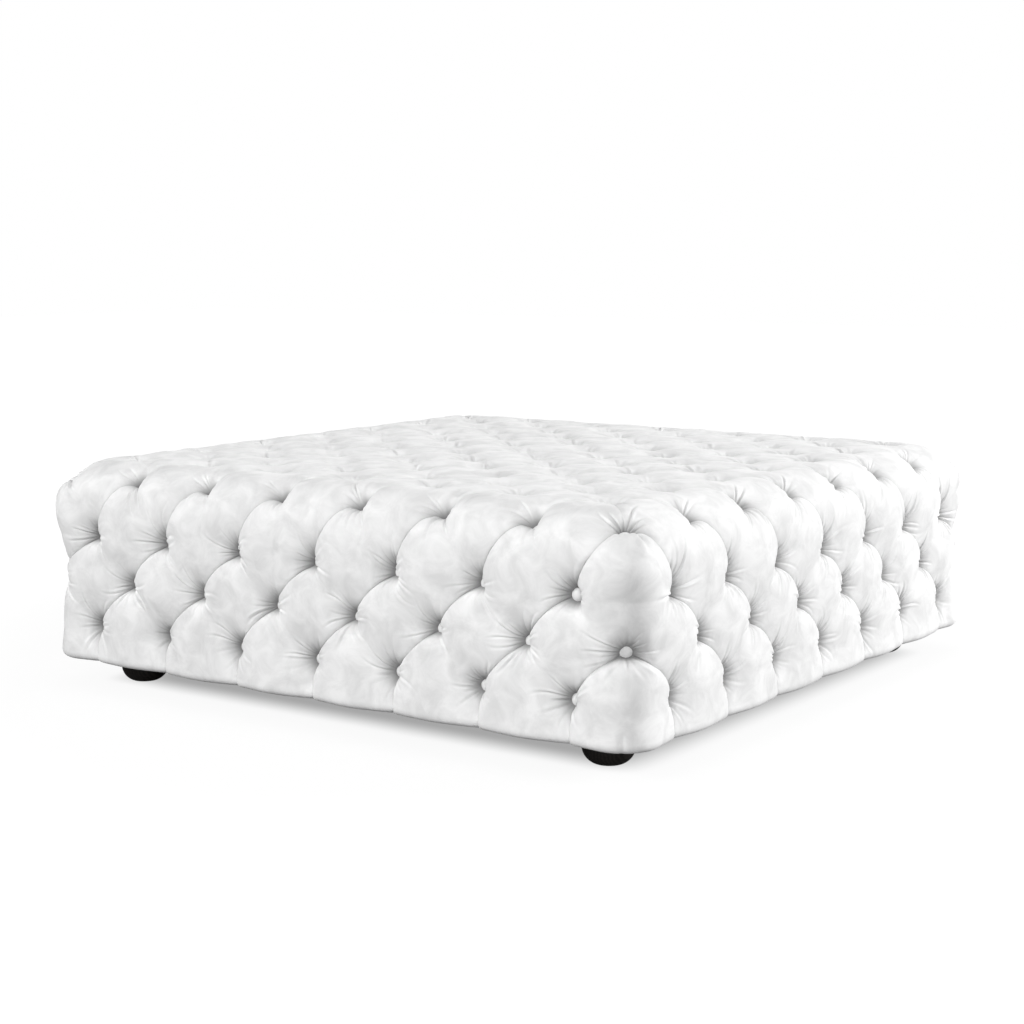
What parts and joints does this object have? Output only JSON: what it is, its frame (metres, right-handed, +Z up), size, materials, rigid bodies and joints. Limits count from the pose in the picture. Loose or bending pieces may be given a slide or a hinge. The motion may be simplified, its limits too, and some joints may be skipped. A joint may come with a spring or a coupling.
{
  "type": "ottoman coffee table",
  "caption": "Low square ottoman coffee table, diamond deep-buttoned all over in pale velvet with covered buttons, on small black bun feet",
  "frame": {"origin": "on the floor under the centre of the footprint", "axes": "+Z up, front face towards -Y, right side towards +X"},
  "size_m": [1.3, 1.3, 0.425],
  "materials": {
    "velvet": "very pale grey-white short-pile velvet",
    "wadding": "white polyester fibre wadding",
    "foam": "cream upholstery foam",
    "plywood": "raw birch plywood",
    "timber": "planed pine",
    "black_wood": "turned hardwood, black satin lacquer",
    "dust_cloth": "black non-woven dust cover cloth",
    "twine": "waxed button twine",
    "zinc_steel": "zinc plated steel"
  },
  "bodies": {
    "root": {"bottom_rail_back": "timber", "bottom_rail_front": "timber", "bottom_rail_left": "timber", "bottom_rail_right": "timber", "buttons_back": "velvet", "buttons_corner": "velvet", "buttons_edge": "velvet", "buttons_front": "velvet", "buttons_left": "velvet", "buttons_right": "velvet", "buttons_top": "velvet", "cover_back": "velvet", "cover_front": "velvet", "cover_left": "velvet", "cover_right": "velvet", "cover_top": "velvet", "deck": "plywood", "deck_screws": "zinc_steel", "dust_cover": "dust_cloth", "foam_back": "foam", "foam_front": "foam", "foam_left": "foam", "foam_right": "foam", "foam_top": "foam", "foot_back_left": "black_wood", "foot_back_right": "black_wood", "foot_front_left": "black_wood", "foot_front_right": "black_wood", "foot_plate_back_left": "plywood", "foot_plate_back_right": "plywood", "foot_plate_front_left": "plywood", "foot_plate_front_right": "plywood", "hanger_bolts": "zinc_steel", "joist_1": "timber", "joist_2": "timber", "joist_3": "timber", "joist_4": "timber", "panel_back": "plywood", "panel_front": "plywood", "panel_left": "plywood", "panel_right": "plywood", "post_back_left": "timber", "post_back_right": "timber", "post_front_left": "timber", "post_front_right": "timber", "tee_nuts": "zinc_steel", "tie_toggles": "zinc_steel", "ties_edge": "twine", "ties_side": "twine", "ties_top": "twine", "top_rail_back": "timber", "top_rail_front": "timber", "top_rail_left": "timber", "top_rail_right": "timber", "wadding_back": "wadding", "wadding_front": "wadding", "wadding_left": "wadding", "wadding_right": "wadding", "wadding_top": "wadding"}
  },
  "joints": []
}
